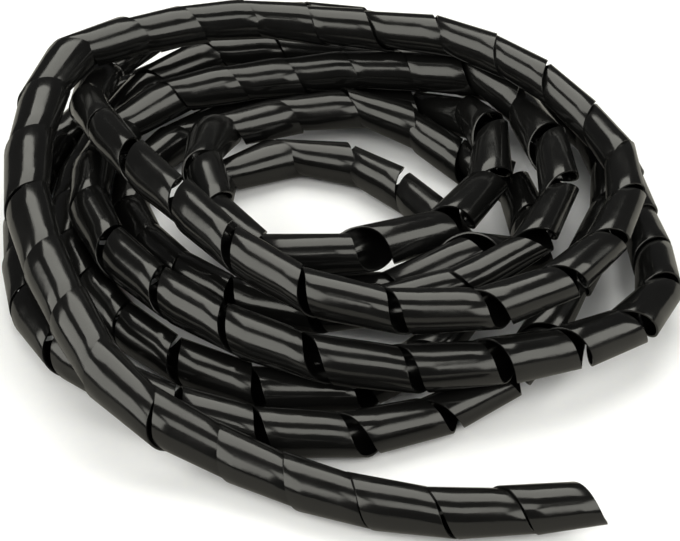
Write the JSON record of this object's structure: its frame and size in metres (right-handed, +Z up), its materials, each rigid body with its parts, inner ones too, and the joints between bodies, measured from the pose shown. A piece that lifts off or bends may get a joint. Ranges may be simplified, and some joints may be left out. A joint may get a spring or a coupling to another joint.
{
  "type": "spiral cable wrap",
  "caption": "Black polyethylene spiral cable wrap, 15 mm outside, about 4 m laid down in a loose coil with one end free.",
  "frame": {"origin": "on the floor that the coil lies on, at the centre of its bounding box", "axes": "+Z up; +Y from the free tail at the front across the coil to its back; the free end points along +X"},
  "size_m": [0.242, 0.2884, 0.053],
  "materials": {
    "black_polyethylene": "glossy"
  },
  "bodies": {
    "root": {"spiral_wrap": "black_polyethylene"}
  },
  "joints": []
}
